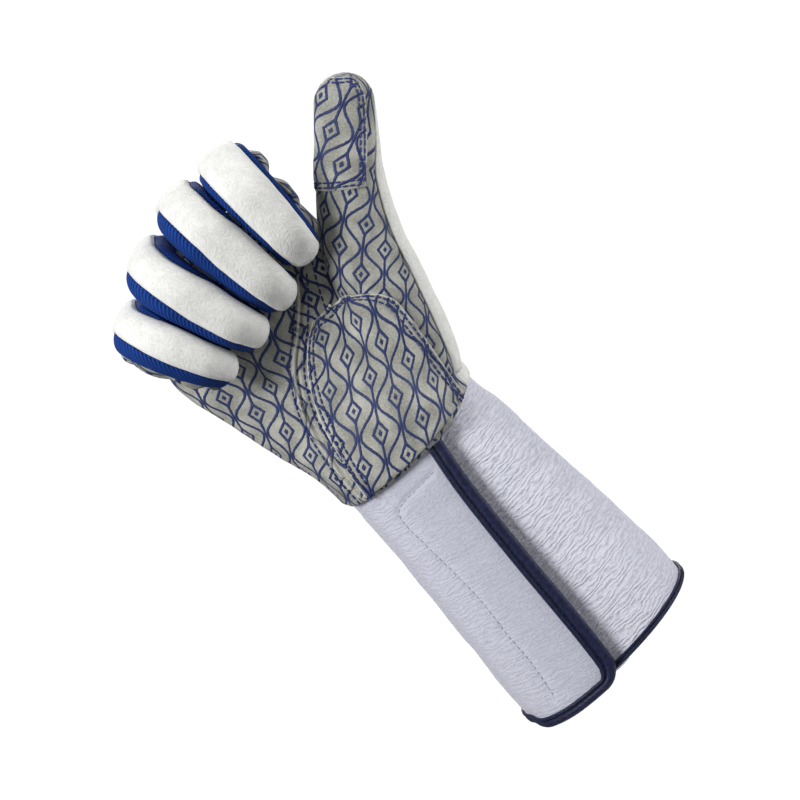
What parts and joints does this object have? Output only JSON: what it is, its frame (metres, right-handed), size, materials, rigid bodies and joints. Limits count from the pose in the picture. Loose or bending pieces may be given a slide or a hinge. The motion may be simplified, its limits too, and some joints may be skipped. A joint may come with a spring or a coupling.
{
  "type": "fencing glove",
  "caption": "Right-hand fencing glove in its worn shape: soft flap gauntlet, grip palm, padded back, curled fingers with knit sides and a raised thumb.",
  "frame": {"origin": "middle of the gauntlet's mouth, in the plane of its hem", "axes": "+Z from the mouth to the knuckles, +Y towards the back of the hand, +X towards the thumb side"},
  "size_m": [0.1577, 0.0853, 0.2908],
  "materials": {
    "gauntlet_cloth": "soft brushed cloth, pale lavender grey",
    "fastener_tape": "looped pile tape",
    "edge_tape": "matt woven tape, navy",
    "printed_suede": "grey suede with a raised navy grip print",
    "white_leather": "soft matt white leather",
    "blue_knit": "fine ribbed knit, royal blue"
  },
  "bodies": {
    "root": {"gauntlet": "gauntlet_cloth", "touch_fastener": "fastener_tape", "edge_tape": "edge_tape", "palm": "printed_suede", "thenar_patch": "printed_suede", "thumb_pad": "printed_suede", "hand_back": "white_leather", "thumb_front": "printed_suede", "thumb_back": "white_leather", "index_back": "white_leather", "index_front": "printed_suede", "index_side_a": "blue_knit", "index_side_b": "blue_knit", "middle_back": "white_leather", "middle_front": "printed_suede", "middle_side_a": "blue_knit", "middle_side_b": "blue_knit", "ring_back": "white_leather", "ring_front": "printed_suede", "ring_side_a": "blue_knit", "ring_side_b": "blue_knit", "little_back": "white_leather", "little_front": "printed_suede", "little_side_a": "blue_knit", "little_side_b": "blue_knit"}
  },
  "joints": []
}
